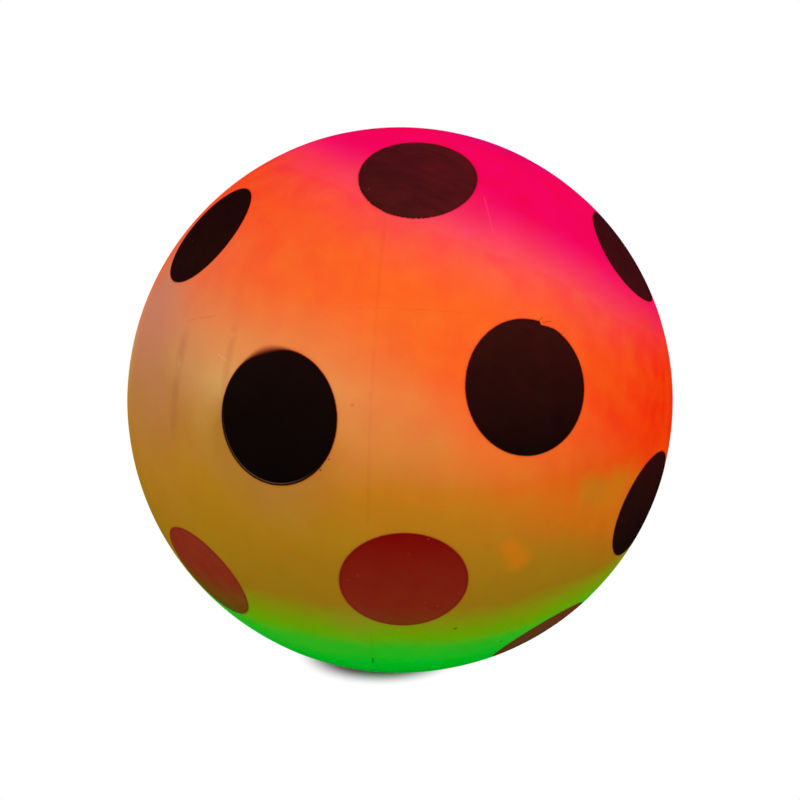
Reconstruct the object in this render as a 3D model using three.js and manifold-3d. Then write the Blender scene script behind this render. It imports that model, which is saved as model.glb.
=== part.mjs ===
// Inflatable play ball: a blown vinyl skin, round printed spots, and a filling valve with a pull-out plug.
// Millimetres, +Z up. The origin is the centre of the flat that the ball's own weight presses at its foot.
// The front is -Y. The valve is at the back, on +Y, at the height of the ball's centre.

import * as THREE from "three";
import { mergeVertices } from "three/addons/utils/BufferGeometryUtils.js";
import Module from "manifold-3d";

const wasm = await Module();
wasm.setup();

// Ball
const ballDiameter = 220;
const skinWall = 0.6;
const restFlatDepth = 0.8;

// Printed spots, whose diameter is measured along the skin
const spotDiameter = 39.5;
const inkThickness = 0.2;

// Valve plug: a head, a ribbed shank and a tapered tip
const plugHeadDiameter = 9;
const plugHeadThickness = 1.6;
const plugHeadChamfer = 0.4;
const plugShankDiameter = 5.2;
const plugShankLength = 16;
const plugTipDiameter = 3.6;
const plugTipLength = 2.5;
const plugRibHeight = 0.3;
const plugRibWidth = 0.8;
const plugRibCount = 2;

// Valve insert: an outer lip, a neck through the skin, an inner flange and a stem with the bore
const neckWall = 1.6;
const lipOverlap = 2.6;
const lipThickness = 0.8;
const lipEdgeThickness = 0.4;
const faceWidth = 2.2;
const flangeOverlap = 6;
const flangeThickness = 1.2;
const stemWall = 2.2;
const nailNotchRadius = 2.5;
const nailNotchDepth = 0.5;

// Clearances
const inkClearance = 0.3;
const valveClearance = 0.3;
const plugClearance = 0.3;

// Facets
const ballSegments = 48;
const ballSteps = 24;
const spotSegments = 28;
const valveSegments = 32;
const plugSegments = 24;
const arcSteps = 4;
const mergeDistance = 1e-4;

// Spot places: degrees of longitude, from the front towards +X, and of latitude above the ball's middle
const spotRows = [
  { row: "crown", ink: "black", places: [[83, 68], [180, 56], [-79, 72]] },
  {
    row: "upper",
    ink: "black",
    places: [[5, 47], [59.5, 30.5], [116, 33], [158, 18], [-155, 21], [-106, 36], [-47, 34.5]],
  },
  {
    row: "middle",
    ink: "black",
    places: [[20.5, 6.5], [54.5, -17], [90, -1], [127, -10], [-119, -2], [-83, 0], [-19.5, 2]],
  },
  { row: "lower", ink: "red", places: [[1, -26], [163, -27], [-153, -23], [-101, -40], [-45.5, -30]] },
  { row: "base", ink: "red", places: [[46.5, -49], [110, -50], [-167, -63], [-54, -67]] },
];

// Sizes that follow from those above
const ballRadius = ballDiameter / 2;
const restHeight = ballRadius - restFlatDepth;
const spotHalfAngle = spotDiameter / ballDiameter;
const facetSag = 1 - Math.cos(Math.hypot(Math.PI / ballSegments, Math.PI / (2 * ballSteps)));
const boreRadius = plugShankDiameter / 2 + plugRibHeight + plugClearance;
const recessRadius = plugHeadDiameter / 2 + plugClearance;
const recessDepth = plugHeadThickness + plugClearance;
const neckRadius = recessRadius + neckWall;
const skinHoleRadius = neckRadius + valveClearance;
const lipRadius = neckRadius + lipOverlap;
const flangeRadius = neckRadius + flangeOverlap;
const stemRadius = boreRadius + stemWall;
const lipSeat = ballRadius + valveClearance;
const flangeSeat = (ballRadius - skinWall) * (1 - facetSag) - valveClearance;
const valveFace = lipSeat + lipThickness;
const recessFloor = valveFace - recessDepth;
const plugSeat = recessFloor + plugClearance;
const plugEnd = plugSeat - plugShankLength;
const shankStart = plugEnd + plugTipLength;

// Materials
const vinyl = new THREE.MeshStandardMaterial({ color: "#e2582c", roughness: 0.5, metalness: 0 });
const inks = {
  black: new THREE.MeshStandardMaterial({ color: "#2a0f0d", roughness: 0.6, metalness: 0 }),
  red: new THREE.MeshStandardMaterial({ color: "#7c2114", roughness: 0.6, metalness: 0 }),
};
const valveVinyl = new THREE.MeshStandardMaterial({ color: "#d9c9a8", roughness: 0.45, metalness: 0 });
const plugPlastic = new THREE.MeshStandardMaterial({ color: "#efece2", roughness: 0.4, metalness: 0 });

const ball = new THREE.Group();
ball.name = "inflatable_ball";
ball.position.z = restHeight;

function addPiece(name, geometry, material) {
  const mesh = new THREE.Mesh(geometry, material.clone());
  mesh.name = name;
  ball.add(mesh);
}

// A geometry as a closed solid that can be joined and cut
function toSolid(geometry) {
  const bare = geometry.clone();
  bare.deleteAttribute("normal");
  bare.deleteAttribute("uv");
  const merged = mergeVertices(bare, mergeDistance);
  const corners = merged.index.array;
  const triangles = [];
  for (let i = 0; i < corners.length; i += 3) {
    const [a, b, c] = corners.slice(i, i + 3);
    if (a !== b && b !== c && c !== a) {
      triangles.push(a, b, c);
    }
  }
  const mesh = new wasm.Mesh({
    numProp: 3,
    vertProperties: new Float32Array(merged.attributes.position.array),
    triVerts: new Uint32Array(triangles),
  });
  return new wasm.Manifold(mesh);
}

function toGeometry(solid) {
  const mesh = solid.getMesh();
  const geometry = new THREE.BufferGeometry();
  geometry.setAttribute("position", new THREE.BufferAttribute(mesh.vertProperties, 3));
  geometry.setIndex(new THREE.BufferAttribute(mesh.triVerts, 1));
  geometry.computeVertexNormals();
  return geometry;
}

// Points of an outline that is turned about an axis, from pairs of radius and height
function outlineOf(pairs) {
  return pairs.map(([radius, height]) => new THREE.Vector2(radius, height));
}

// Pairs of radius and height along a sphere about the ball's centre, between two distances from the axis
function sphereArc(sphereRadius, fromRadius, toRadius) {
  const pairs = [];
  for (let i = 0; i <= arcSteps; i++) {
    const radius = THREE.MathUtils.lerp(fromRadius, toRadius, i / arcSteps);
    pairs.push([radius, Math.sqrt(sphereRadius ** 2 - radius ** 2)]);
  }
  return pairs;
}

// A full ball with its foot pressed flat, whose surface lies at an offset from the skin's outside
function fullBall(offset) {
  const radius = ballRadius + offset;
  const flatHeight = restHeight + offset;
  const flatEdge = Math.acos(flatHeight / radius);
  const pairs = [[0, -flatHeight]];
  for (let i = 0; i < ballSteps; i++) {
    const angle = THREE.MathUtils.lerp(flatEdge, Math.PI, i / ballSteps);
    pairs.push([radius * Math.sin(angle), -radius * Math.cos(angle)]);
  }
  pairs.push([0, radius]);
  const geometry = new THREE.LatheGeometry(outlineOf(pairs), ballSegments);
  geometry.rotateX(Math.PI / 2);
  return toSolid(geometry);
}

// Skin: the blown shell, with the hole that the valve's neck passes
function skinGeometry() {
  const hole = new THREE.CylinderGeometry(skinHoleRadius, skinHoleRadius, ballRadius, valveSegments);
  hole.translate(0, ballRadius, 0);
  const shell = fullBall(0).subtract(fullBall(-skinWall));
  return toGeometry(shell.subtract(toSolid(hole)));
}

addPiece("ball_skin", skinGeometry(), vinyl);

// Printed spots: each is cut from one thin layer over the skin by a cone from the ball's centre
function directionTo(longitude, latitude) {
  const turn = THREE.MathUtils.degToRad(longitude);
  const rise = THREE.MathUtils.degToRad(latitude);
  const level = Math.cos(rise);
  return new THREE.Vector3(level * Math.sin(turn), -level * Math.cos(turn), Math.sin(rise));
}

function spotCone(longitude, latitude) {
  const reach = ballDiameter;
  const pairs = [[0, 0], [reach * Math.tan(spotHalfAngle), reach], [0, reach]];
  const cone = new THREE.LatheGeometry(outlineOf(pairs), spotSegments);
  const coneAxis = new THREE.Vector3(0, 1, 0);
  const turn = new THREE.Quaternion().setFromUnitVectors(coneAxis, directionTo(longitude, latitude));
  cone.applyQuaternion(turn);
  return toSolid(cone);
}

const inkLayer = fullBall(inkClearance + inkThickness).subtract(fullBall(inkClearance));

for (const { row, ink, places } of spotRows) {
  places.forEach(([longitude, latitude], index) => {
    const spot = inkLayer.intersect(spotCone(longitude, latitude));
    addPiece(`spot_${row}_${index + 1}`, toGeometry(spot), inks[ink]);
  });
}

// Valve insert: turned about +Y. Its stem ends where the plug's tip begins to taper.
// A shallow notch in its face lets a nail under the plug's head.
function insertGeometry() {
  const flangeBack = flangeSeat - flangeThickness;
  const lipEdge = Math.sqrt(lipSeat ** 2 - lipRadius ** 2) + lipEdgeThickness;
  const pairs = [
    [boreRadius, shankStart],
    [stemRadius, shankStart],
    ...sphereArc(flangeBack, stemRadius, flangeRadius),
    ...sphereArc(flangeSeat, flangeRadius, neckRadius),
    ...sphereArc(lipSeat, neckRadius, lipRadius),
    [lipRadius, lipEdge],
    [recessRadius + faceWidth, valveFace],
    [recessRadius, valveFace],
    [recessRadius, recessFloor],
    [boreRadius, recessFloor],
    [boreRadius, shankStart],
  ];
  const turned = new THREE.LatheGeometry(outlineOf(pairs), valveSegments);
  const notch = new THREE.CylinderGeometry(nailNotchRadius, nailNotchRadius, lipRadius, valveSegments);
  notch.rotateX(Math.PI / 2);
  notch.translate(0, valveFace + nailNotchRadius - nailNotchDepth, lipRadius / 2 + plugHeadDiameter / 2);
  return toGeometry(toSolid(turned).subtract(toSolid(notch)));
}

addPiece("valve_insert", insertGeometry(), valveVinyl);

// Valve plug: turned about +Y, its ribs evenly spaced between the tip and the head
function plugGeometry() {
  const shankRadius = plugShankDiameter / 2;
  const headRadius = plugHeadDiameter / 2;
  const headTop = plugSeat + plugHeadThickness;
  const ribPitch = (plugSeat - shankStart) / (plugRibCount + 1);
  const pairs = [[0, plugEnd], [plugTipDiameter / 2, plugEnd], [shankRadius, shankStart]];
  for (let i = 1; i <= plugRibCount; i++) {
    const middle = shankStart + i * ribPitch;
    pairs.push([shankRadius, middle - plugRibWidth]);
    pairs.push([shankRadius + plugRibHeight, middle - plugRibWidth / 2]);
    pairs.push([shankRadius + plugRibHeight, middle + plugRibWidth / 2]);
    pairs.push([shankRadius, middle + plugRibWidth]);
  }
  pairs.push([shankRadius, plugSeat], [headRadius, plugSeat], [headRadius, headTop - plugHeadChamfer]);
  pairs.push([headRadius - plugHeadChamfer, headTop], [0, headTop]);
  return new THREE.LatheGeometry(outlineOf(pairs), plugSegments);
}

addPiece("valve_plug", plugGeometry(), plugPlastic);

export default ball;
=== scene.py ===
import math
import bpy
import numpy as np
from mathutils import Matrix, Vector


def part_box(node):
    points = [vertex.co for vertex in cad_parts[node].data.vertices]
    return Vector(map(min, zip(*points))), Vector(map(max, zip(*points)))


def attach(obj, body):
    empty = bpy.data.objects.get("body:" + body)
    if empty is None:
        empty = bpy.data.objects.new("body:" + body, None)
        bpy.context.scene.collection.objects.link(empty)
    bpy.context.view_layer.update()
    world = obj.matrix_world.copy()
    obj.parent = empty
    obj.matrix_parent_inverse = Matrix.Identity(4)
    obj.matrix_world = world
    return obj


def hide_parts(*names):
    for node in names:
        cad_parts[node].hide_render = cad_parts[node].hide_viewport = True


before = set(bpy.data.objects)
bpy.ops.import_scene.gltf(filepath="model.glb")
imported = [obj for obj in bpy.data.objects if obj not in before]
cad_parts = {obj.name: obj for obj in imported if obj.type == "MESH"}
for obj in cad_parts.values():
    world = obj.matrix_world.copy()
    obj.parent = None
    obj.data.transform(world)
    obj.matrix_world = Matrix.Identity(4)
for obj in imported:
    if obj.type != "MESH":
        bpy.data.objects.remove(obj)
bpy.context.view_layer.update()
print("frame loaded,", len(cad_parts), "nodes")

# The ball's round: the radius comes from the top of the skin's solid, which stands on a pressed foot
ball = {
    "flat": 0.0008,  # how deep the floor presses the foot
    "press": 0.0003,  # how softly the pressed foot runs into the round
    "swell": 0.00012,  # slow unevenness of a blown skin
}
ballRadius = (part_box("ball_skin")[1].z + ball["flat"]) / 2
centre = np.array([0.0, 0.0, ballRadius - ball["flat"]])


# Unit vectors from degrees of longitude, from the front towards +X, and of latitude
def towards(longitude, latitude):
    turn, rise = np.radians(longitude), np.radians(latitude)
    level = np.cos(rise)
    return np.stack([level * np.sin(turn), -level * np.cos(turn), np.sin(rise)], -1)


# Points at a depth under the skin: the sphere along each direction plus three slow waves. Heights under
# the floor, or under the skin's own wall, are lifted by a soft maximum: half of z + sqrt(z² + press²)
def skinPoints(direction, depth):
    x, y, z = np.moveaxis(direction, -1, 0)
    waves = np.sin(3.1 * x + 2 * z) + np.sin(2.7 * y - 3.4 * z + 1) + np.sin(4.2 * x * y + 2.3)
    reach = ballRadius + ball["swell"] * waves / 3 - depth
    points = centre + direction * reach[..., None]
    floorHeight = np.maximum(depth, 0)
    height = points[..., 2] - floorHeight
    points[..., 2] = floorHeight + 0.5 * (height + np.sqrt(height**2 + ball["press"] ** 2))
    return points


# A piece from a grid of points. Its columns run round and close, and its rows close too or end in poles.
# Faces look along the cross product of the rows' and the columns' directions.
def gridPiece(name, points, poles=False, uv=None, values=None):
    rows, columns, _ = points.shape

    def flatten(grid):
        width = grid.shape[2:]
        if poles:
            return np.concatenate([grid[1:-1].reshape(-1, *width), grid[:1, 0], grid[-1:, 0]])
        return grid.reshape(-1, *width)

    ringRows = rows - 2 if poles else rows
    here = np.arange(ringRows * columns).reshape(ringRows, columns)
    beside = np.roll(here, -1, axis=1)
    ahead, aheadBeside = np.roll(here, -1, axis=0), np.roll(beside, -1, axis=0)
    quads = np.stack([here, ahead, aheadBeside, beside], -1)
    faces = quads[: ringRows - 1 if poles else ringRows].reshape(-1, 4).tolist()
    if poles:
        firstPole = np.full(columns, ringRows * columns)
        faces += np.stack([firstPole, here[0], beside[0]], -1).tolist()
        faces += np.stack([here[-1], firstPole + 1, beside[-1]], -1).tolist()
    mesh = bpy.data.meshes.new(name)
    mesh.from_pydata(flatten(points).tolist(), [], faces)
    mesh.polygons.foreach_set("use_smooth", np.ones(len(faces), bool))
    if uv is not None:
        corners = np.empty(len(mesh.loops), np.int32)
        mesh.loops.foreach_get("vertex_index", corners)
        layer = mesh.uv_layers.new(name="UVMap")
        layer.data.foreach_set("uv", flatten(uv)[corners].astype(np.float32).ravel())
    for key, grid in (values or {}).items():
        attribute = mesh.attributes.new(key, "FLOAT", "POINT")
        attribute.data.foreach_set("value", flatten(grid).astype(np.float32))
    mesh.update()
    piece = bpy.data.objects.new(name, mesh)
    bpy.context.scene.collection.objects.link(piece)
    return piece


def finishPiece(piece, material, body, node=None):
    piece.data.materials.append(material)
    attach(piece, body)
    if node:
        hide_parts(node)


# A socket that can stand in sums, with one method that adds any other node
class Wire:
    def __init__(self, tree, socket=None):
        self.tree = tree
        self.socket = socket

    def node(self, kind, sockets=None, output=0, **settings):
        made = self.tree.nodes.new("ShaderNode" + kind)
        for key, value in settings.items():
            if key == "stops":
                layStops(made.color_ramp, value)
            else:
                setattr(made, key, value)
        for key, value in (sockets or {}).items():
            if isinstance(value, Wire):
                self.tree.links.new(value.socket, made.inputs[key])
            else:
                made.inputs[key].default_value = value
        return Wire(self.tree, made.outputs[output] if len(made.outputs) else None)

    def math(self, operation, left, right=0.0):
        return self.node("Math", {0: left, 1: right}, operation=operation)

    def __add__(self, other):
        return self.math("ADD", self, other)

    def __sub__(self, other):
        return self.math("SUBTRACT", self, other)

    def __rsub__(self, other):
        return self.math("SUBTRACT", other, self)

    def __mul__(self, other):
        return self.math("MULTIPLY", self, other)

    __radd__ = __add__
    __rmul__ = __mul__


def layStops(ramp, stops):
    while len(ramp.elements) < len(stops):
        ramp.elements.new(1)
    for element, (position, colour) in zip(ramp.elements, stops):
        element.position = position
        element.color = colour


# A linear colour from the 0 to 255 values that a screen shows
def seen(red, green, blue):
    share = np.array([red, green, blue]) / 255
    linear = np.where(share <= 0.04045, share / 12.92, ((share + 0.055) / 1.055) ** 2.4)
    return (*linear.tolist(), 1.0)


def vector(array):
    return tuple(float(value) for value in array)


def newMaterial(name):
    material = bpy.data.materials.new(name)
    material.use_nodes = True
    material.node_tree.nodes.clear()
    return material, Wire(material.node_tree)


def endMaterial(wire, sockets):
    wire.node("OutputMaterial", {"Surface": wire.node("BsdfPrincipled", sockets)})


def blend(wire, share, under, over, way="MIX"):
    return wire.node("Mix", {0: share, 6: under, 7: over}, 2, data_type="RGBA", blend_type=way)


# A soft step from 0 at one value to 1 at the other
def step(wire, value, zeroAt, oneAt):
    sockets = {"Value": value, "From Min": zeroAt, "From Max": oneAt}
    return wire.node("MapRange", sockets, interpolation_type="SMOOTHSTEP")


def noise(wire, place, scale, detail=2.0, output="Fac"):
    return wire.node("TexNoise", {"Vector": place, "Scale": scale, "Detail": detail}, output)


# Noise about 0, as strong as its share
def uneven(wire, place, look):
    return (noise(wire, place, look["scale"], look["detail"]) - 0.5) * look["share"]


def bumped(wire, height, strength, depth):
    return wire.node("Bump", {"Height": height, "Strength": strength, "Distance": depth}, "Normal")


def objectPlace(wire):
    return wire.node("TexCoord", output="Object")


# The unit vector from the ball's centre to the shaded point
def ballDirection(wire):
    arm = wire.node("VectorMath", {0: objectPlace(wire), 1: vector(centre)}, operation="SUBTRACT")
    return wire.node("VectorMath", {0: arm}, operation="NORMALIZE")


def facing(wire, direction, way):
    return wire.node("VectorMath", {0: direction, 1: vector(way)}, "Value", operation="DOT_PRODUCT")


# 1 inside the smaller angle about a place on the ball, falling to 0 at the larger one
def within(wire, direction, at, reach):
    angle = wire.math("ARCCOSINE", facing(wire, direction, towards(*at)))
    full, none = reach
    return step(wire, angle, math.radians(none), math.radians(full))


# Sprayed paint: bands from foot to crown, softer sprays over them, then marks that handling left. Among
# these, a pale mauve haze on the left is partly painted reflection and partly duller paint, and a darker
# purple patch at the upper right edge is painted shade
paint = {
    "lean": (0, 78),  # the crown of the bands
    "drift": 0.05,  # how far the sprays' edges wander
    "driftScale": 2.6,
    "mottle": {"scale": 9.0, "detail": 4.0, "share": 0.1},  # lighter and darker clouds
    "mist": {"scale": 160.0, "detail": 2.0, "share": 0.05},
    "puffs": {"scale": 12.0, "detail": 4.0, "share": 0.015},  # redder and yellower clouds
    "hue": 0.499,  # 0.5 leaves the hue alone
    "bands": [  # height from -1 at the foot to 1 at the crown, and the colour there
        (-0.66, (0, 215, 45)),
        (-0.54, (55, 200, 35)),
        (-0.48, (110, 180, 5)),
        (-0.33, (160, 120, 20)),
        (0.05, (185, 130, 25)),
        (0.3, (220, 165, 95)),
        (0.55, (250, 105, 45)),
        (1.0, (250, 50, 25)),
    ],
    "sprays": [  # longitude and latitude, degrees of full and of no cover, colour
        {"at": (-22, -3), "reach": (0, 16), "colour": (180, 125, 45)},
        {"at": (-50, 2), "reach": (0, 24), "colour": (185, 125, 40)},
        # Partly painted reflection, partly duller paint: a pale mauve haze over the left side
        {"at": (-50, 20), "reach": (0, 25), "colour": (205, 130, 100)},
        {"at": (58, 33), "reach": (35, 65), "colour": (245, 60, 10)},
        {"at": (13, 18), "reach": (0, 45), "colour": (255, 105, 35)},
        {"at": (41, -12), "reach": (0, 10), "colour": (210, 115, 20)},
        {"at": (-140, 20), "reach": (10, 50), "colour": (250, 95, 30)},
        {"at": (150, 12), "reach": (10, 45), "colour": (245, 75, 20)},
        {"at": (-150, 65), "reach": (25, 50), "colour": (245, 0, 80)},
        {"at": (60, 63), "reach": (22, 57), "colour": (245, 0, 125)},
        {"at": (75, 62), "reach": (36, 51), "colour": (240, 5, 85)},
    ],
    "smudges": [  # like sprays, but small, and only as strong as their share
        {"at": (18.9, -19.4), "reach": (0, 2.8), "colour": (228, 122, 16), "share": 0.5},
        {"at": (21, -22), "reach": (0, 3.6), "colour": (226, 120, 16), "share": 0.6},
        {"at": (35, -11), "reach": (0, 5), "colour": (180, 126, 32), "share": 0.35},
        {"at": (-9.5, -36), "reach": (0, 7.5), "colour": (160, 132, 44), "share": 0.3},
        # More of the pale mauve haze on the left, partly painted reflection and partly duller paint
        {"at": (-57, 20), "reach": (2, 17), "colour": (210, 126, 100), "share": 0.5},
        {"at": (-55, 5), "reach": (2, 18), "colour": (187, 126, 70), "share": 0.55},
        # Painted shade: a darker purple patch centred just behind the upper right outline, darkening the
        # ball's edge there
        {"at": (74, 66), "reach": (6, 23), "colour": (190, 0, 124), "share": 0.7},
    ],
    "scratchTaper": (1.1, 0.7),  # where a scratch ends and where it is full, in half lengths
    "scratchGaps": {"scale": 26.0, "edges": (0.3, 0.5)},
    "scratches": [  # two ends, half the width in metres, colour and how strongly it shows
        {"ends": ((18.6, 40.8), (17.9, 32)), "width": 0.0004, "colour": (255, 110, 130), "share": 0.16},
        {"ends": ((-40.8, 17.2), (-33, 18)), "width": 0.0004, "colour": (185, 85, 50), "share": 0.25},
        {"ends": ((-9, 19), (12.5, 18)), "width": 0.0003, "colour": (222, 66, 25), "share": 0.18},
        {"ends": ((-31.4, 11.7), (-28.9, 10.5)), "width": 0.0003, "colour": (240, 180, 130), "share": 0.5},
        {"ends": ((-31.6, 10), (-30, 12)), "width": 0.0003, "colour": (170, 90, 60), "share": 0.2},
        {"ends": ((-40.2, 16), (-41.9, -3)), "width": 0.0035, "colour": (150, 88, 62), "share": 0.25},
        {"ends": ((-28.3, 17), (-29.5, 2)), "width": 0.0025, "colour": (185, 95, 66), "share": 0.25},
        {"ends": ((-7.4, -48.7), (-8.2, -52.5)), "width": 0.0006, "colour": (6, 84, 40), "share": 0.7},
        {"ends": ((23.2, 16.9), (24.1, 17.7)), "width": 0.0002, "colour": (80, 18, 12), "share": 0.7},
        {"ends": ((23.8, 16.8), (25.9, 17.0)), "width": 0.0002, "colour": (100, 24, 14), "share": 0.7},
    ],
    "specks": [  # tiny dark dots
        {"at": (11.9, -37.6), "reach": (0.1, 0.5), "colour": (20, 74, 14), "share": 0.7},
        {"at": (26.8, -45.1), "reach": (0.1, 0.45), "colour": (20, 74, 14), "share": 0.6},
        {"at": (-10.8, -4.1), "reach": (0.08, 0.26), "colour": (84, 52, 20), "share": 0.5},
        {"at": (-12.2, -5.8), "reach": (0.08, 0.28), "colour": (84, 52, 20), "share": 0.6},
        {"at": (-7.1, 4.2), "reach": (0.1, 0.45), "colour": (204, 98, 56), "share": 0.5},
    ],
}


def scratchMask(wire, direction, scratch):
    start, end = (towards(*place) for place in scratch["ends"])
    across = np.cross(start, end)
    across = across / np.linalg.norm(across)
    middle = (start + end) / np.linalg.norm(start + end)
    halfLength = math.acos(float(start @ middle))
    aside = wire.math("ABSOLUTE", facing(wire, direction, across))
    thin = step(wire, aside, scratch["width"] / ballRadius, 0.0)
    none, full = (math.cos(halfLength * share) for share in paint["scratchTaper"])
    along = step(wire, facing(wire, direction, middle), none, full)
    return thin * along * scratch["share"]


# The colour of the painted skin at any point of the ball, with painted reflection on the left and painted
# shade at the upper right edge among its sprays and smudges
def skinColourWithPaintedLight(wire, marked=True):
    direction = ballDirection(wire)
    cloud = noise(wire, direction, paint["driftScale"], 3.0, "Color")
    shift = wire.node("VectorMath", {0: cloud, 1: (0.5, 0.5, 0.5)}, operation="SUBTRACT")
    spread = (2 * paint["drift"],) * 3
    wandered = wire.node("VectorMath", {0: shift, 1: spread, 2: direction}, operation="MULTIPLY_ADD")
    height = facing(wire, wandered, towards(*paint["lean"]))
    stops = [(0.5 + 0.5 * level, seen(*colour)) for level, colour in paint["bands"]]
    colour = wire.node("ValToRGB", {"Fac": height * 0.5 + 0.5}, "Color", stops=stops)
    for patch in paint["sprays"]:
        cover = within(wire, wandered, patch["at"], patch["reach"])
        colour = blend(wire, cover, colour, seen(*patch["colour"]))
    value = 1 + uneven(wire, direction, paint["mottle"]) + uneven(wire, direction, paint["mist"])
    hue = paint["hue"] + uneven(wire, direction, paint["puffs"])
    colour = wire.node("HueSaturation", {"Color": colour, "Hue": hue, "Value": value})
    if not marked:
        return colour
    for mark in paint["smudges"] + paint["specks"]:
        cover = within(wire, direction, mark["at"], mark["reach"]) * mark["share"]
        colour = blend(wire, cover, colour, seen(*mark["colour"]))
    gaps = paint["scratchGaps"]
    broken = step(wire, noise(wire, direction, gaps["scale"]), *gaps["edges"])
    for scratch in paint["scratches"]:
        cover = scratchMask(wire, direction, scratch) * broken
        colour = blend(wire, cover, colour, seen(*scratch["colour"]))
    return colour


# Blown vinyl: matt, with the fine orange peel that spraying leaves
vinyl = {
    "roughness": (0.44, 0.6),
    "rubScale": 38.0,
    "gloss": 0.0,
    "peelScale": 420.0,
    "peelStrength": 0.25,
    "peelDepth": 0.00004,
}


def vinylMaterial(name, darker=0.0):
    material, wire = newMaterial(name)
    place = objectPlace(wire)
    colour = skinColourWithPaintedLight(wire)
    if darker:
        colour = wire.node("HueSaturation", {"Color": colour, "Value": 1 - darker})
    peel = noise(wire, place, vinyl["peelScale"], 3.0)
    rub = noise(wire, place, vinyl["rubScale"], 3.0)
    low, high = vinyl["roughness"]
    sockets = {
        "Base Color": colour,
        "Roughness": low + (high - low) * rub,
        "Specular IOR Level": vinyl["gloss"],
        "Normal": bumped(wire, peel, vinyl["peelStrength"], vinyl["peelDepth"]),
    }
    endMaterial(wire, sockets)
    return material


# Skin: rings about the valve's axis, from the front to the valve's hole and back along the inside
skin = {"rings": 160, "innerRings": 48, "columns": 288, "wall": 0.0006, "hole": 0.0067}


def makeSkin():
    edge = math.pi - math.asin(skin["hole"] / ballRadius)
    outer = np.linspace(0, edge, skin["rings"])
    inner = np.linspace(edge, 0, skin["innerRings"])
    angle = np.concatenate([outer, inner])[:, None]
    turn = np.linspace(0, 2 * np.pi, skin["columns"], endpoint=False)[None]
    depth = np.concatenate([outer * 0, inner * 0 + skin["wall"]])[:, None] + 0 * turn
    aside = np.sin(angle)
    direction = np.stack([aside * np.cos(turn), 0 * turn - np.cos(angle), aside * np.sin(turn)], -1)
    piece = gridPiece("blownSkin", skinPoints(direction, depth), poles=True)
    finishPiece(piece, vinylMaterial("sprayedVinyl"), "ball", "ball_skin")


makeSkin()
print("skin made")

# Mould seam: a low ridge carried round the ball along the great circle through two places, near upright
seam = {
    "through": ((-3.8, 15.5), (-7.0, -47.6)),
    "width": 0.0009,
    "height": 0.000009,
    "sink": 0.00004,
    "points": 480,
    "across": 7,
    "darker": 0.035,
}


# The ridge's section is (1 - u²)² of its height over its width, u from -1 to 1, closed under the skin
def makeSeam():
    turn = np.linspace(0, 2 * np.pi, seam["points"], endpoint=False)[:, None, None]
    high, low = (towards(*place) for place in seam["through"])
    aside = np.cross(low, high)
    aside = aside / np.linalg.norm(aside)
    path = np.cos(turn) * low + np.sin(turn) * np.cross(aside, low)
    share = np.linspace(-1, 1, seam["across"])
    offset = np.concatenate([share, share[::-1]])[None, :]
    rise = seam["height"] * (1 - share**2) ** 2
    lift = np.concatenate([rise, 0 * share - seam["sink"]])[None, :] + 0 * turn[..., 0]
    direction = path + aside * (offset * seam["width"] / 2 / ballRadius)[..., None]
    direction = direction / np.linalg.norm(direction, axis=-1, keepdims=True)
    piece = gridPiece("mouldSeam", skinPoints(direction, -lift))
    finishPiece(piece, vinylMaterial("seamVinyl", seam["darker"]), "ball")


makeSeam()
print("seam made")

# Printed spots: thin films of ink over the skin, each centred on its own solid
inks = {
    "black": {
        "pigment": seen(8, 5.5, 5.5),
        "filter": (1, 0.5, 0.3, 1),
        # The pale haze mixed into the skin seen through the ink is a painted reflection
        "veil": (0.305, 0.12, 0.13, 1),
        "veilShare": 0.35,
        "halo": (0.6, 0.24, 0.3, 1),
        "thin": 0.025,
        "rim": seen(12, 6, 7),
        "rimShare": 0.2,
        "pinhole": {"share": 0.16, "scale": 210.0, "size": (0.09, 0.04), "pick": (0.86, 0.9)},
    },
    "red": {
        "pigment": (0.188, 0.0005, 0.0006, 1),
        "filter": (0.83, 0.25, 2.4, 1),
        # The pale haze mixed into the skin seen through the ink is a painted reflection, weaker here
        "veil": seen(150, 97, 60),
        "veilShare": 0.04,
        "halo": (0.85, 0.4, 0.7, 1),
        "thin": 0.32,
        "rim": seen(118, 6, 18),
        "rimShare": 0.4,
        "pinhole": {"share": 0.24, "scale": 330.0, "size": (0.13, 0.05), "pick": (0.6, 0.65)},
    },
}
# How the ink lies. Widths are in spot radii, and roughness is the least and what rubbing adds.
printing = {
    "toothScale": 1400.0,
    "toothHeight": 0.15,
    "streakTurn": -32,
    "streakSize": (0.9, 0.12, 1),
    "streakShare": 2.4,
    "blotch": {"scale": 130.0, "detail": 3.0, "share": 0.7},
    "rim": (0.06, 0.02),  # inside the edge
    "hairlineInset": 0.034,
    "hairline": (0.014, 0.003),
    "hairlineColour": (96, 70, 48),
    "roughness": (0.5, 0.16),
    "rubScale": 60.0,
    "bumpStrength": 0.3,
    "bumpDepth": 0.00004,
}
inkOfRow = {"crown": "black", "upper": "black", "middle": "black", "lower": "red", "base": "red"}
film = {
    "past": 1.34,  # the film's own radius, in spot radii
    "slope": 0.2,  # how much of that runs down into the skin
    "rows": 30,
    "underRows": 6,
    "columns": 240,
    "lift": 0.00006,
    "sink": 0.00002,
    "soft": 0.014,  # half the width of the ink's edge, in spot radii
    "ragged": 0.005,
    "smearReach": 0.25,  # how far a smear carries the ink out, as a share of its softness
    "fringe": 0.25,  # how strongly thinned ink stains the skin beside the edge
    "fringeWidth": 0.055,
    "stain": (0.75, 0.5, 0.12, 1),
}
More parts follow.
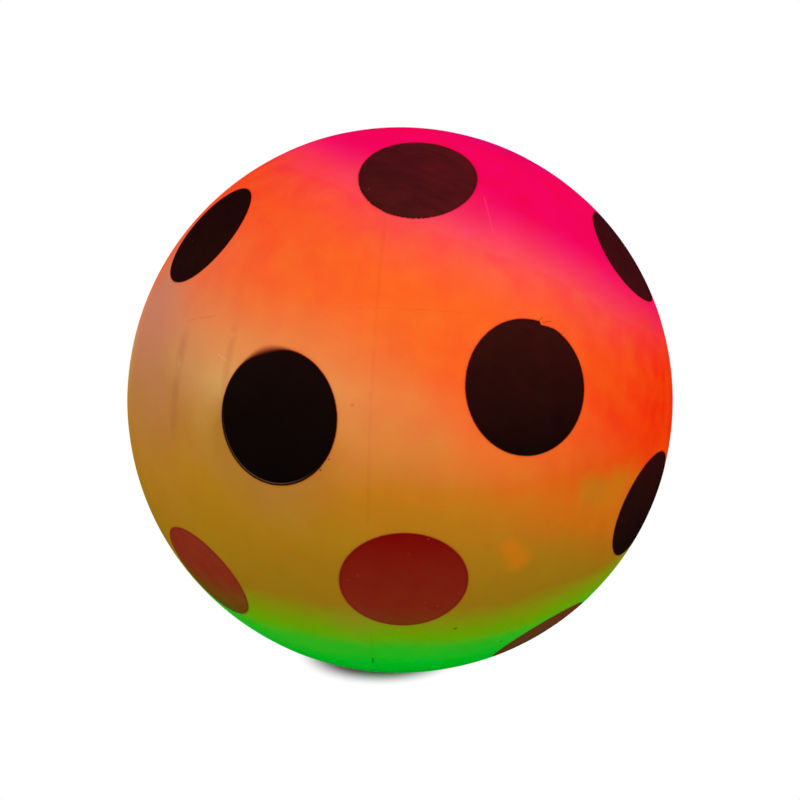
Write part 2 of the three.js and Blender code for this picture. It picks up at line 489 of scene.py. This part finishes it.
# What sets single spots apart: how much skin shows through (thin), its change from the middle to the top
# and to the right, streaks, an oval's width and height, its shift to the right and up, how far it tilts
# and how far its film runs, in spot radii. Smears, rough, nicked and split edges and fringes have a
# direction, a width in degrees, from the right, anticlockwise, and a strength.
plainMarks = {
    "fade": 0.0,
    "sideFade": 0.0,
    "streak": 0.15,
    "oval": (1, 1),
    "shift": (0, 0),
    "tilt": 0.0,
    "past": film["past"],
    "smear": (0, 1, 0),
    "rough": (0, 1, 0),
    "nick": (0, 1, 0),
    "split": (0, 1, 0),
    "fringe": (0, 1, 0),
}
spotMarks = {
    "spot_upper_1": {
        "thin": 0.1,
        "fade": 0.05,
        "sideFade": 0.18,
        "fringe": (52, 38, 0.65),
        "streak": 0.32,
        "rough": (240, 40, 0.016),
        "oval": (0.99, 1.12),
        "shift": (-0.03, -0.03),
        "tilt": 0.12,
    },
    "spot_upper_2": {
        "thin": 0.063,
        "fade": -0.1,
        "oval": (1.3, 0.99),
        "shift": (0.2, 0.09),
        "tilt": 0.1,
        "past": 1.7,
    },
    "spot_upper_7": {"thin": 0.019, "fade": -0.2, "oval": (0.97, 1.05), "shift": (-0.05, 0.07)},
    "spot_middle_1": {
        "thin": 0.0267,
        "fade": 0.75,
        "nick": (74, 15, 0.05),
        "oval": (1.02, 1.04),
        "shift": (-0.01, 0.02),
    },
    "spot_middle_2": {
        "thin": 0.028,
        "fade": 0.4,
        "oval": (1.18, 1.02),
        "shift": (0.17, -0.02),
        "past": 1.55,
    },
    "spot_middle_7": {
        "thin": 0.0071,
        "fade": 0.6,
        "smear": (102, 18, 0.075),
        "split": (245, 50, 0.8),
        "oval": (0.98, 1.04),
    },
    "spot_lower_1": {"thin": 0.29, "fade": -0.85, "oval": (1.015, 0.98), "shift": (-0.03, 0.01)},
    "spot_lower_5": {"thin": 0.62, "fade": -0.15},
    "spot_base_1": {"thin": 0.3},
}


# How near an angle is to a mark's direction: 1 at its middle, falling off past its width
def nearMark(angle, mark, sharp=2):
    at, width, strength = mark
    aside = (np.degrees(angle) - at + 180) % 360 - 180
    return strength * np.exp(-(np.abs(aside / width) ** sharp))


# A nick bites straight in at its direction and runs out clockwise over its width
def nickDepth(angle, mark):
    at, width, depth = mark
    behind = (at - np.degrees(angle)) % 360
    return depth * np.clip(1 - behind / width, 0, 1)


# The spot's middle, from its solid's faces weighed by area, and its half angle
def spotPlace(node):
    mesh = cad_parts[node].data
    count = len(mesh.polygons)
    middles, areas = np.empty(count * 3), np.empty(count)
    mesh.polygons.foreach_get("center", middles)
    mesh.polygons.foreach_get("area", areas)
    axis = ((middles.reshape(-1, 3) - centre) * areas[:, None]).sum(0)
    axis = axis / np.linalg.norm(axis)
    corners = np.empty(len(mesh.vertices) * 3)
    mesh.vertices.foreach_get("co", corners)
    arms = corners.reshape(-1, 3) - centre
    cosines = arms @ axis / np.linalg.norm(arms, axis=1)
    return axis, math.acos(cosines.min())


# A film: rings about the spot's middle out past the ink's edge, and back under the skin. Its height is
# the lift times (1 - t)² less the sink times t², where t runs from 0 to 1 over the slope at its edge.
def makeSpot(node, material, ink):
    axis, halfAngle = spotPlace(node)
    marks = {"thin": inks[ink]["thin"], **plainMarks, **spotMarks.get(node, {})}
    right = np.cross([0.0, 0.0, 1.0], axis)
    right = right / np.linalg.norm(right)
    up = np.cross(axis, right)
    out = np.linspace(0, 1, film["rows"])
    under = np.linspace(1, 0, film["underRows"])
    reach = np.concatenate([out, under])[:, None]
    t = np.clip((out - 1) * marks["past"] / film["slope"] + 1, 0, 1)
    rise = film["lift"] * (1 - t) ** 2 - film["sink"] * t**2
    lift = np.concatenate([rise, 0 * under - 2 * film["sink"]])
    angle = np.linspace(0, 2 * np.pi, film["columns"], endpoint=False)[None]
    radius = reach * marks["past"] + 0 * angle
    angle = angle + 0 * reach
    ring = np.cos(angle)[..., None] * right + np.sin(angle)[..., None] * up
    opening = (radius * halfAngle)[..., None]
    direction = np.cos(opening) * axis + np.sin(opening) * ring
    smear = nearMark(angle, marks["smear"])
    fade = marks["fade"] * np.sin(angle) + marks["sideFade"] * np.cos(angle)
    values = {
        "edge": 1 + film["smearReach"] * smear - nickDepth(angle, marks["nick"]),
        "soft": film["soft"] + smear,
        "ragged": film["ragged"] + nearMark(angle, marks["rough"], 4),
        "thin": marks["thin"] * (1 + radius * fade),
        "streak": 0 * angle + marks["streak"],
        "split": nearMark(angle, marks["split"], 4),
        "fringe": film["fringe"] + nearMark(angle, marks["fringe"]),
    }
    flat = radius[..., None] * np.stack([np.cos(angle), np.sin(angle)], -1) - marks["shift"]
    flat[..., 1] -= marks["tilt"] * flat[..., 0]
    uv = flat / marks["oval"]
    name = "ink" + "".join(word.capitalize() for word in node.split("_")[1:])
    piece = gridPiece(name, skinPoints(direction, -lift[:, None] + 0 * angle), True, uv, values)
    finishPiece(piece, material, "ball", node)


def inkMaterial(ink):
    look = inks[ink]
    material, wire = newMaterial(ink + "Ink")

    def value(name):
        return wire.node("Attribute", output="Fac", attribute_name=name)

    place = objectPlace(wire)
    flat = wire.node("UVMap", uv_map="UVMap")
    radius = wire.node("VectorMath", {0: flat}, "Value", operation="LENGTH")
    edge, soft = value("edge"), value("soft")
    tooth = noise(wire, place, printing["toothScale"]) - 0.5
    wobbled = radius + 2 * tooth * value("ragged")
    cover = step(wire, wobbled, edge + soft, edge - soft)
    turn = (0, 0, math.radians(printing["streakTurn"]))
    sockets = {"Vector": flat, "Rotation": turn, "Scale": printing["streakSize"]}
    slanted = wire.node("Mapping", sockets, vector_type="TEXTURE")
    streaks = printing["streakShare"] * (noise(wire, slanted, 1.0, 3.0) - 0.5) * value("streak")
    through = value("thin") * (1 + streaks + uneven(wire, place, printing["blotch"]))
    skinColour = skinColourWithPaintedLight(wire)
    seenInInk = blend(wire, 1.0, skinColour, look["filter"], "MULTIPLY")
    # A pale haze mixed into the skin seen through the ink: a painted reflection
    seenInInk = blend(wire, look["veilShare"], seenInInk, look["veil"])
    colour = blend(wire, through, look["pigment"], seenInInk)
    rimStart, rimFull = printing["rim"]
    rim = step(wire, wobbled, edge - rimStart, edge - rimFull)
    colour = blend(wire, rim * look["rimShare"], colour, look["rim"])
    aside = wire.math("ABSOLUTE", wobbled - edge + printing["hairlineInset"])
    hairline = step(wire, aside, *printing["hairline"]) * value("split")
    colour = blend(wire, hairline, colour, seen(*printing["hairlineColour"]))
    hole = look["pinhole"]
    cells = {"Vector": place, "Scale": hole["scale"]}
    tint = wire.node("TexVoronoi", cells, "Color")
    chosen = step(wire, wire.node("SeparateColor", {"Color": tint}, "Red"), *hole["pick"])
    pinhole = step(wire, wire.node("TexVoronoi", cells, "Distance"), *hole["size"]) * chosen
    colour = blend(wire, pinhole * hole["share"], colour, skinColour)
    stain = blend(wire, 1.0, skinColour, film["stain"], "MULTIPLY")
    fringe = step(wire, wobbled, edge + film["fringeWidth"], edge) * value("fringe")
    beside = blend(wire, fringe, skinColour, stain)
    halo = blend(wire, 1.0, skinColour, look["halo"], "MULTIPLY")
    around = blend(wire, cover, beside, halo)
    height = cover + printing["toothHeight"] * tooth
    smoothest, rubbed = printing["roughness"]
    sockets = {
        "Base Color": blend(wire, cover * cover, around, colour),
        "Roughness": smoothest + rubbed * noise(wire, place, printing["rubScale"], 3.0),
        "Specular IOR Level": vinyl["gloss"],
        "Normal": bumped(wire, height, printing["bumpStrength"], printing["bumpDepth"]),
    }
    endMaterial(wire, sockets)
    return material


def makeSpots():
    materials = {ink: inkMaterial(ink) for ink in inks}
    for node in sorted(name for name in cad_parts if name.startswith("spot_")):
        ink = inkOfRow[node.split("_")[1]]
        makeSpot(node, materials[ink], ink)


makeSpots()
print("spots made")


# A profile with each corner rounded: a quadratic curve between points set back from the corner
# along both sides, by the rounding or by just under half of the side
def roundedProfile(corners, rounding, steps, closed):
    corners = np.array(corners, float)

    def setBack(neighbour):
        side = neighbour - corners
        length = np.linalg.norm(side, axis=1, keepdims=True)
        return (corners + side * np.minimum(rounding / length, 0.48))[:, None]

    start, end = setBack(np.roll(corners, 1, axis=0)), setBack(np.roll(corners, -1, axis=0))
    share = np.linspace(0, 1, steps)[None, :, None]
    curve = (1 - share) ** 2 * start + 2 * share * (1 - share) * corners[:, None] + share**2 * end
    if closed:
        return curve.reshape(-1, 2)
    return np.concatenate([corners[:1], curve[1:-1].reshape(-1, 2), corners[-1:]])


# Pairs of radius and height turned about the valve's axis, which runs along +Y through the ball's centre
def turnedPoints(profile, columns):
    turn = np.linspace(0, 2 * np.pi, columns, endpoint=False)[None]
    radius, height = profile[:, :1], profile[:, 1:]
    return np.stack([radius * np.cos(turn), height + 0 * turn, radius * np.sin(turn)], -1) + centre


# Valve insert: a soft grommet with a lip over the skin and a flange and stem inside
valve = {
    "bore": 0.0032,
    "stem": 0.0054,
    "neck": 0.0064,
    "recess": 0.0048,
    "recessDepth": 0.0019,
    "lip": 0.009,
    "lipEdge": 0.0004,
    "face": 0.007,
    "flangeThickness": 0.0012,
    "flangeGap": 0.00135,  # from the skin's outside to the flange
    "seat": 0.00005,  # how far the lip sinks into the skin
    "notchRadius": 0.0025,
    "notchDepth": 0.0005,
    "rounding": 0.00025,
    "roundingSteps": 6,
    "columns": 160,
    "colours": ((206, 188, 152), (226, 214, 186)),
    "cloudScale": 220.0,
    "oversprayScale": 1100.0,
    "oversprayEdges": (0.45, 0.75),
    "oversprayShare": 0.3,
    "roughness": (0.4, 0.15),
    "gloss": 0.35,
    "grainScale": 1500.0,
    "grainStrength": 0.3,
    "grainDepth": 0.00003,
}


def insertMaterial():
    material, wire = newMaterial("milkyVinyl")
    place = objectPlace(wire)
    cloud = noise(wire, place, valve["cloudScale"], 3.0)
    dull, pale = (seen(*colour) for colour in valve["colours"])
    overspray = step(wire, noise(wire, place, valve["oversprayScale"], 3.0), *valve["oversprayEdges"])
    overspray = overspray * valve["oversprayShare"]
    colour = blend(wire, overspray, blend(wire, cloud, dull, pale), skinColourWithPaintedLight(wire, marked=False))
    smoothest, rubbed = valve["roughness"]
    grain = noise(wire, place, valve["grainScale"])
    sockets = {
        "Base Color": colour,
        "Roughness": smoothest + rubbed * cloud,
        "Specular IOR Level": valve["gloss"],
        "Normal": bumped(wire, grain, valve["grainStrength"], valve["grainDepth"]),
    }
    endMaterial(wire, sockets)
    return material


def makeInsert():
    low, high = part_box("valve_insert")
    stemEnd, faceHeight, flange = low.y, high.y, high.x
    flangeSeat = ballRadius - valve["flangeGap"]
    flangeBack = flangeSeat - valve["flangeThickness"]
    lipSeat = ballRadius - valve["seat"]

    def onSphere(radius, distance):
        return (radius, math.sqrt(distance**2 - radius**2))

    lipUnder = onSphere(valve["lip"], lipSeat)
    corners = [
        (valve["bore"], stemEnd),
        (valve["stem"], stemEnd),
        onSphere(valve["stem"], flangeBack),
        onSphere(flange, flangeBack),
        onSphere(flange, flangeSeat),
        onSphere(valve["neck"], flangeSeat),
        onSphere(valve["neck"], lipSeat),
        lipUnder,
        (valve["lip"], lipUnder[1] + valve["lipEdge"]),
        (valve["face"], faceHeight),
        (valve["recess"], faceHeight),
        (valve["recess"], faceHeight - valve["recessDepth"]),
        (valve["bore"], faceHeight - valve["recessDepth"]),
    ]
    profile = roundedProfile(corners, valve["rounding"], valve["roundingSteps"], True)
    points = turnedPoints(profile, valve["columns"])
    # The nail's notch: a shallow round groove across the upper side of the face
    x = np.clip(points[..., 0] / valve["notchRadius"], -1, 1)
    groove = faceHeight - valve["notchDepth"] + valve["notchRadius"] * (1 - np.sqrt(1 - x**2))
    upper = points[..., 2] > centre[2]
    outer = points[..., 1] > faceHeight - 2 * valve["notchDepth"]
    points[..., 1] = np.where(upper & outer, np.minimum(points[..., 1], groove), points[..., 1])
    piece = gridPiece("valveGrommet", points)
    finishPiece(piece, insertMaterial(), "ball", "valve_insert")


# Valve plug: a dished head, a shank with ribs and a tapered tip
plug = {
    "headThickness": 0.0016,
    "shank": 0.0026,
    "tip": 0.0018,
    "tipLength": 0.0025,
    "rib": 0.0003,
    "ribWidth": 0.0008,
    "ribCount": 2,
    "dish": 0.00015,
    "dishRim": 0.75,  # share of the head's radius
    "dishFloor": 0.55,
    "rounding": 0.0003,
    "roundingSteps": 6,
    "columns": 96,
    "colours": ((228, 222, 206), (242, 239, 230)),
    "cloudScale": 300.0,
    "roughness": (0.34, 0.14),
    "gloss": 0.45,
    "grainScale": 1800.0,
    "grainStrength": 0.25,
    "grainDepth": 0.00002,
}


def plugMaterial():
    material, wire = newMaterial("plugPlastic")
    place = objectPlace(wire)
    cloud = noise(wire, place, plug["cloudScale"], 3.0)
    dull, pale = (seen(*colour) for colour in plug["colours"])
    smoothest, rubbed = plug["roughness"]
    grain = noise(wire, place, plug["grainScale"])
    sockets = {
        "Base Color": blend(wire, cloud, dull, pale),
        "Roughness": smoothest + rubbed * cloud,
        "Specular IOR Level": plug["gloss"],
        "Normal": bumped(wire, grain, plug["grainStrength"], plug["grainDepth"]),
    }
    endMaterial(wire, sockets)
    return material


def makePlug():
    low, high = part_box("valve_plug")
    end, top, head = low.y, high.y, high.x
    headUnder = top - plug["headThickness"]
    shankStart = end + plug["tipLength"]
    crest = plug["shank"] + plug["rib"]
    pitch = (headUnder - shankStart) / (plug["ribCount"] + 1)
    corners = [(0, end), (plug["tip"], end), (plug["shank"], shankStart)]
    for rib in range(plug["ribCount"]):
        middle = shankStart + (rib + 1) * pitch
        corners += [
            (plug["shank"], middle - plug["ribWidth"]),
            (crest, middle - plug["ribWidth"] / 2),
            (crest, middle + plug["ribWidth"] / 2),
            (plug["shank"], middle + plug["ribWidth"]),
        ]
    corners += [(plug["shank"], headUnder), (head, headUnder), (head, top), (head * plug["dishRim"], top)]
    corners += [(head * plug["dishFloor"], top - plug["dish"]), (0, top - plug["dish"])]
    profile = roundedProfile(corners, plug["rounding"], plug["roundingSteps"], False)
    piece = gridPiece("valveStopper", turnedPoints(profile, plug["columns"]), poles=True)
    finishPiece(piece, plugMaterial(), "plug", "valve_plug")


makeInsert()
makePlug()
print("valve made")

# Camera: a guessed place in front, with the ball's outline as large as it is in the photograph
shot = {
    "elevation": 5.0,
    "distance": 3 * ballRadius,
    "outlinePixels": 272.7,  # the outline's radius in the photograph
    "imagePixels": 800,
    "sensor": 36,
    "clipStart": 0.01,
}


def placeCamera():
    camera = bpy.data.objects.new("camera", bpy.data.cameras.new("camera"))
    bpy.context.scene.collection.objects.link(camera)
    camera.location = centre + shot["distance"] * towards(0, shot["elevation"])
    camera.rotation_euler = (math.radians(90 - shot["elevation"]), 0, 0)
    spread = math.sqrt((shot["distance"] / ballRadius) ** 2 - 1)
    camera.data.sensor_width = shot["sensor"]
    camera.data.lens = shot["sensor"] * shot["outlinePixels"] * spread / shot["imagePixels"]
    camera.data.clip_start = shot["clipStart"]
    bpy.context.scene.camera = camera


placeCamera()
print("camera placed")


# 1 for rays that show the floor or the room as it looks, 0 for rays that only light the ball
def shownRay(wire):
    kinds = ("Is Camera Ray", "Is Glossy Ray", "Is Transmission Ray")
    camera, glossy, through = (wire.node("LightPath", output=kind) for kind in kinds)
    return wire.math("MINIMUM", camera + glossy + through, 1.0)


# Floor: pale, keeps the ball's shadow near the foot and runs out to plain white
ground = {"size": 4.0, "colour": (0.9, 0.9, 0.9, 1), "fade": (0.025, 0.038), "middle": (-0.008, 0.0, 0.0)}


def makeFloor():
    half = ground["size"] / 2
    mesh = bpy.data.meshes.new("floor")
    corners = [(-half, -half, 0), (half, -half, 0), (half, half, 0), (-half, half, 0)]
    mesh.from_pydata(corners, [], [(0, 1, 2, 3)])
    floor = bpy.data.objects.new("floor", mesh)
    bpy.context.scene.collection.objects.link(floor)
    material, wire = newMaterial("paleFloor")
    sockets = {0: objectPlace(wire), 1: ground["middle"]}
    distance = wire.node("VectorMath", sockets, "Value", operation="DISTANCE")
    fade = step(wire, distance, *ground["fade"]) * shownRay(wire)
    matt = wire.node("BsdfDiffuse", {"Color": ground["colour"]})
    white = wire.node("Emission", {"Color": (1, 1, 1, 1), "Strength": 1.0})
    wire.node("OutputMaterial", {"Surface": wire.node("MixShader", {0: fade, 1: matt, 2: white})})
    mesh.materials.append(material)


makeFloor()
print("floor made")

# Light: an even room, a broad soft lamp from the upper right and a faint one from the left
light = {
    "room": 0.76,
    "lamps": {
        "key": {"power": 3.2, "size": 1.0, "from": (40, 48), "distance": 1.1},
        "fill": {"power": 1.1, "size": 1.0, "from": (-70, 25), "distance": 1.1},
    },
}


def lightRoom():
    world = bpy.data.worlds.new("room")
    bpy.context.scene.world = world
    world.use_nodes = True
    world.node_tree.nodes.clear()
    wire = Wire(world.node_tree)
    strength = shownRay(wire) * (1 - light["room"]) + light["room"]
    sky = wire.node("Background", {"Color": (1, 1, 1, 1), "Strength": strength})
    wire.node("OutputWorld", {"Surface": sky})
    for name, lamp in light["lamps"].items():
        longitude, latitude = lamp["from"]
        data = bpy.data.lights.new(name, "AREA")
        data.shape = "DISK"
        data.size = lamp["size"]
        data.energy = lamp["power"]
        holder = bpy.data.objects.new(name, data)
        holder.location = centre + lamp["distance"] * towards(longitude, latitude)
        holder.rotation_euler = (math.radians(90 - latitude), 0, math.radians(longitude))
        bpy.context.scene.collection.objects.link(holder)


lightRoom()
bpy.context.scene.view_settings.view_transform = "Standard"
print("light set")
